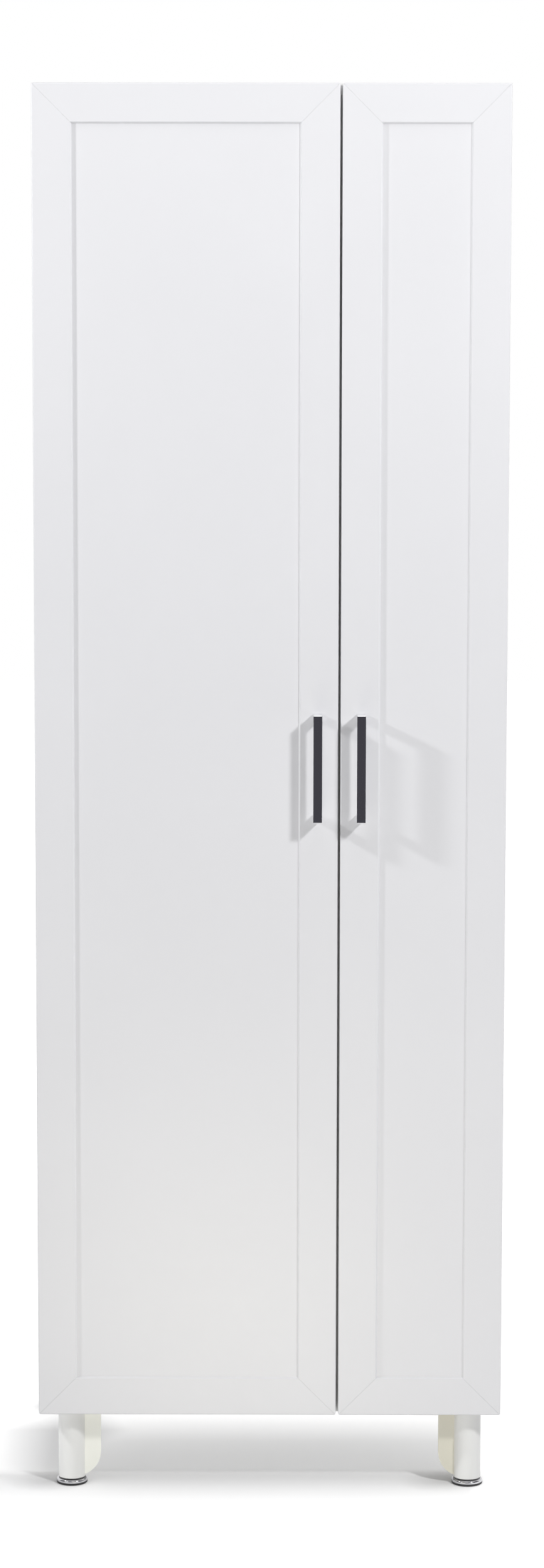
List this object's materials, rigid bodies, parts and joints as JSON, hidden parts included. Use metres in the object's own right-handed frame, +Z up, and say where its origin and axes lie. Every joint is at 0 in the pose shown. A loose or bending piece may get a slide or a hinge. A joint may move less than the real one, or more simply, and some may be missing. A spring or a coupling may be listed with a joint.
{
  "type": "pantry cabinet",
  "caption": "Tall white pantry cabinet on corner legs, with a wide and a narrow framed door side by side, straight pulls, shelves behind a divider and levelling feet.",
  "frame": {"origin": "on the floor under the middle of the cabinet's outline, pulls included", "axes": "+X to the right seen from the front, +Y from the doors to the back, +Z up"},
  "size_m": [0.6024, 0.4308, 1.8],
  "materials": {
    "melamine": "satin",
    "hardboard": "matt",
    "door_foil": "satin",
    "chrome": "polished",
    "nickel_steel": "polished",
    "zinc_screw": "satin",
    "clear_rubber": "satin",
    "cap_plastic": "satin",
    "beech": "matt",
    "leg_plastic": "gloss"
  },
  "bodies": {
    "carcass": {"side_panel_left": "melamine", "side_panel_right": "melamine", "top_panel": "melamine", "bottom_panel": "melamine", "divider_panel": "melamine", "fixed_shelf_wide": "melamine", "fixed_shelf_narrow": "melamine", "wide_shelf_1": "melamine", "wide_shelf_2": "melamine", "wide_shelf_3": "melamine", "wide_shelf_4": "melamine", "narrow_shelf_1": "melamine", "narrow_shelf_2": "melamine", "narrow_shelf_3": "melamine", "narrow_shelf_4": "melamine", "back_panel": "hardboard", "left_hinge_arms": "nickel_steel", "left_hinge_plates": "nickel_steel", "right_hinge_arms": "nickel_steel", "right_hinge_plates": "nickel_steel", "carcass_screws": "zinc_screw", "hinge_plate_screws": "zinc_screw", "hinge_arm_screws": "zinc_screw", "leg_screws": "zinc_screw", "back_nails": "zinc_screw", "screw_caps": "cap_plastic", "shelf_pins_wide": "cap_plastic", "shelf_pins_narrow": "cap_plastic", "shelf_dowels": "beech", "leg_front_left": "leg_plastic", "leg_front_right": "leg_plastic", "leg_rear_left": "leg_plastic", "leg_rear_right": "leg_plastic"},
    "left_door": {"left_hinge_stile": "door_foil", "left_handle_stile": "door_foil", "left_top_rail": "door_foil", "left_bottom_rail": "door_foil", "left_panel": "door_foil", "left_handle": "chrome", "left_handle_screws": "zinc_screw", "left_hinge_cups": "nickel_steel", "left_hinge_pins": "nickel_steel", "left_cup_screws": "zinc_screw", "left_bumpers": "clear_rubber"},
    "right_door": {"right_hinge_stile": "door_foil", "right_handle_stile": "door_foil", "right_top_rail": "door_foil", "right_bottom_rail": "door_foil", "right_panel": "door_foil", "right_handle": "chrome", "right_handle_screws": "zinc_screw", "right_hinge_cups": "nickel_steel", "right_hinge_pins": "nickel_steel", "right_cup_screws": "zinc_screw", "right_bumpers": "clear_rubber"},
    "front_left_foot": {"foot_front_left": "chrome"},
    "front_right_foot": {"foot_front_right": "chrome"},
    "rear_left_foot": {"foot_rear_left": "chrome"},
    "rear_right_foot": {"foot_rear_right": "chrome"}
  },
  "joints": [
    {"name": "left_door_hinge", "type": "hinge", "parent": "carcass", "child": "left_door", "pos_m": [-0.2905, -0.1759, 0.95], "axis": [0, 0, -1], "range_deg": [0, 100]},
    {"name": "right_door_hinge", "type": "hinge", "parent": "carcass", "child": "right_door", "pos_m": [0.2905, -0.1759, 0.95], "axis": [0, 0, 1], "range_deg": [0, 100]},
    {"name": "front_left_leveller", "type": "slide", "parent": "carcass", "child": "front_left_foot", "axis": [0, 0, -1], "range_m": [0, 0.012]},
    {"name": "front_right_leveller", "type": "slide", "parent": "carcass", "child": "front_right_foot", "axis": [0, 0, -1], "range_m": [0, 0.012]},
    {"name": "rear_left_leveller", "type": "slide", "parent": "carcass", "child": "rear_left_foot", "axis": [0, 0, -1], "range_m": [0, 0.012]},
    {"name": "rear_right_leveller", "type": "slide", "parent": "carcass", "child": "rear_right_foot", "axis": [0, 0, -1], "range_m": [0, 0.012]}
  ]
}
